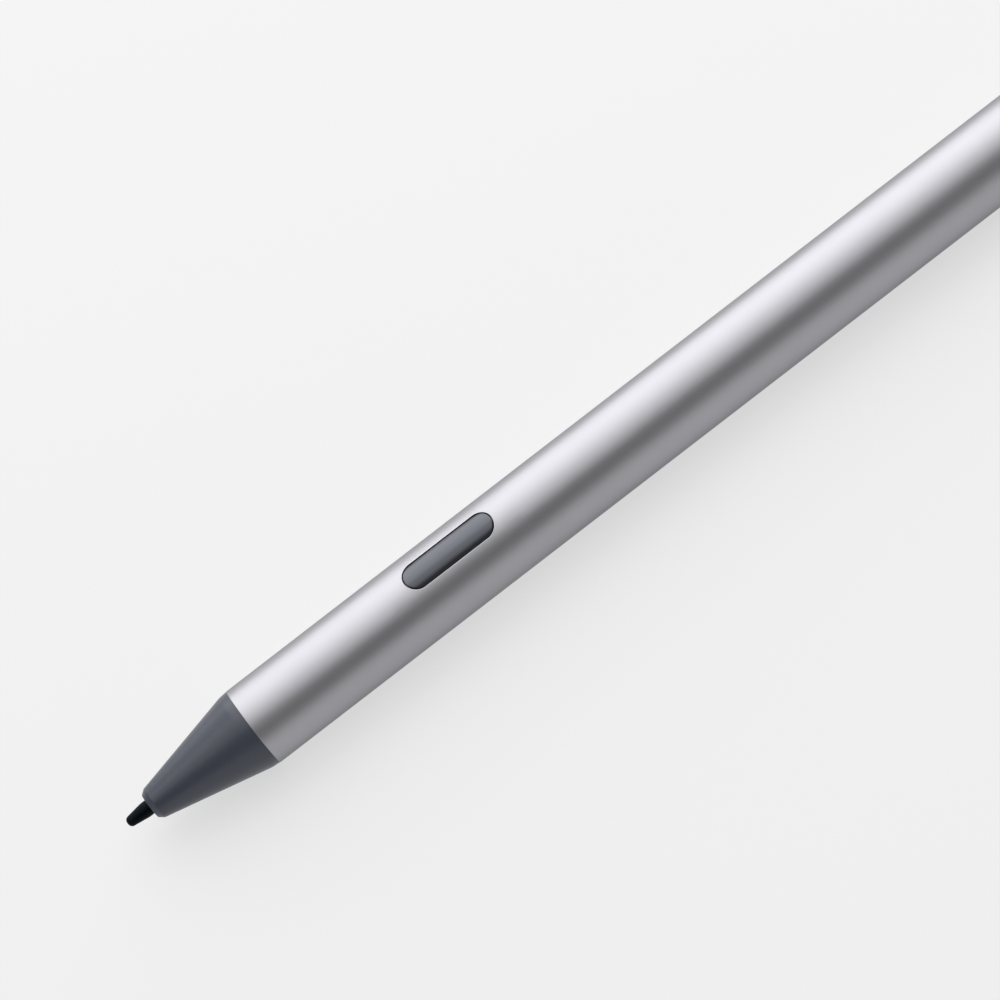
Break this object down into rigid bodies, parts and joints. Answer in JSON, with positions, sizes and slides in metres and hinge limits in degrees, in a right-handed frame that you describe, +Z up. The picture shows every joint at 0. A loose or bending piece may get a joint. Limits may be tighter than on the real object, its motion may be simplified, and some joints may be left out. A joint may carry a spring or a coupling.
{
  "type": "stylus pen",
  "caption": "Round aluminium stylus pen with a tapered nose cone, a pressure-sensing nib, a pill-shaped side button and a pull-off tail with an end button.",
  "frame": {"origin": "under the middle of the pen's length, where the barrel rests", "axes": "+X along the pen from the nib to the tail, +Z up through the side button"},
  "size_m": [0.146, 0.0098, 0.01],
  "materials": {
    "satin_aluminium": "fine bead-blasted, clear anodised",
    "dark_grey_plastic": "fine satin moulding, dark slate grey",
    "black_plastic": "smooth black moulding",
    "gunmetal_plastic": "satin metallic grey coat",
    "brass": "turned",
    "gold_contact": "plated contact",
    "white_plastic": "natural low-friction plastic",
    "spring_steel": "bright drawn wire and turned steel",
    "silicone": "soft translucent grey",
    "ceramic_sensor": "fired ceramic block",
    "circuit_board": "green solder mask on glass fibre",
    "chip_black": "moulded chip package, bare",
    "capacitor_tan": "tan ceramic with tinned ends",
    "cell_can": null,
    "jacket_film": "plain unprinted film",
    "black_rubber": "moulded ring"
  },
  "bodies": {
    "barrel": {"barrel": "satin_aluminium", "nose_cone": "dark_grey_plastic", "ring_electrode": "brass", "nib_guide_bush": "white_plastic", "nib_spring": "spring_steel", "pressure_pad": "silicone", "pressure_sensor": "ceramic_sensor", "chassis": "black_plastic", "main_board": "circuit_board", "board_screws": "spring_steel", "controller_chip": "chip_black", "driver_chip": "chip_black", "crystal_can": "spring_steel", "board_capacitors": "capacitor_tan", "side_switch": "black_plastic", "front_contact": "gold_contact"},
    "nib_carriage": {"nib_holder": "brass"},
    "nib": {"nib": "black_plastic"},
    "side_button": {"side_button": "gunmetal_plastic", "side_switch_plunger": "white_plastic"},
    "cell": {"battery_cell": "cell_can", "battery_jacket": "jacket_film"},
    "tail": {"tail_sleeve": "satin_aluminium", "tail_plug": "black_plastic", "tail_o_ring": "black_rubber", "battery_spring": "spring_steel", "tail_board": "circuit_board", "radio_chip": "chip_black", "tail_switch": "black_plastic", "tail_button_spring": "spring_steel"},
    "tail_button": {"tail_button": "dark_grey_plastic", "tail_switch_plunger": "white_plastic"}
  },
  "joints": [
    {"name": "nib_press", "type": "slide", "parent": "barrel", "child": "nib_carriage", "axis": [1, 0, 0], "range_m": [0, 0.0003], "stiffness_N_per_m": 1500, "springref_m": -0.0002, "deforming": ["nib_spring"]},
    {"name": "nib_pull", "type": "slide", "parent": "nib_carriage", "child": "nib", "axis": [-1, 0, 0], "range_m": [0, 0.018]},
    {"name": "side_button_press", "type": "slide", "parent": "barrel", "child": "side_button", "axis": [0, 0, -1], "range_m": [0, 0.0003], "stiffness_N_per_m": 4000, "springref_m": -0.0001},
    {"name": "tail_pull", "type": "slide", "parent": "barrel", "child": "tail", "axis": [1, 0, 0], "range_m": [0, 0.07]},
    {"name": "cell_slide", "type": "slide", "parent": "barrel", "child": "cell", "axis": [1, 0, 0], "range_m": [0, 0.035]},
    {"name": "tail_button_press", "type": "slide", "parent": "tail", "child": "tail_button", "axis": [-1, 0, 0], "range_m": [0, 0.0005], "stiffness_N_per_m": 2500, "springref_m": -0.0002, "deforming": ["tail_button_spring"]}
  ],
  "couplings": [
    {"joint": "cell_slide", "follows": "tail_pull", "ratio": 0.5}
  ]
}
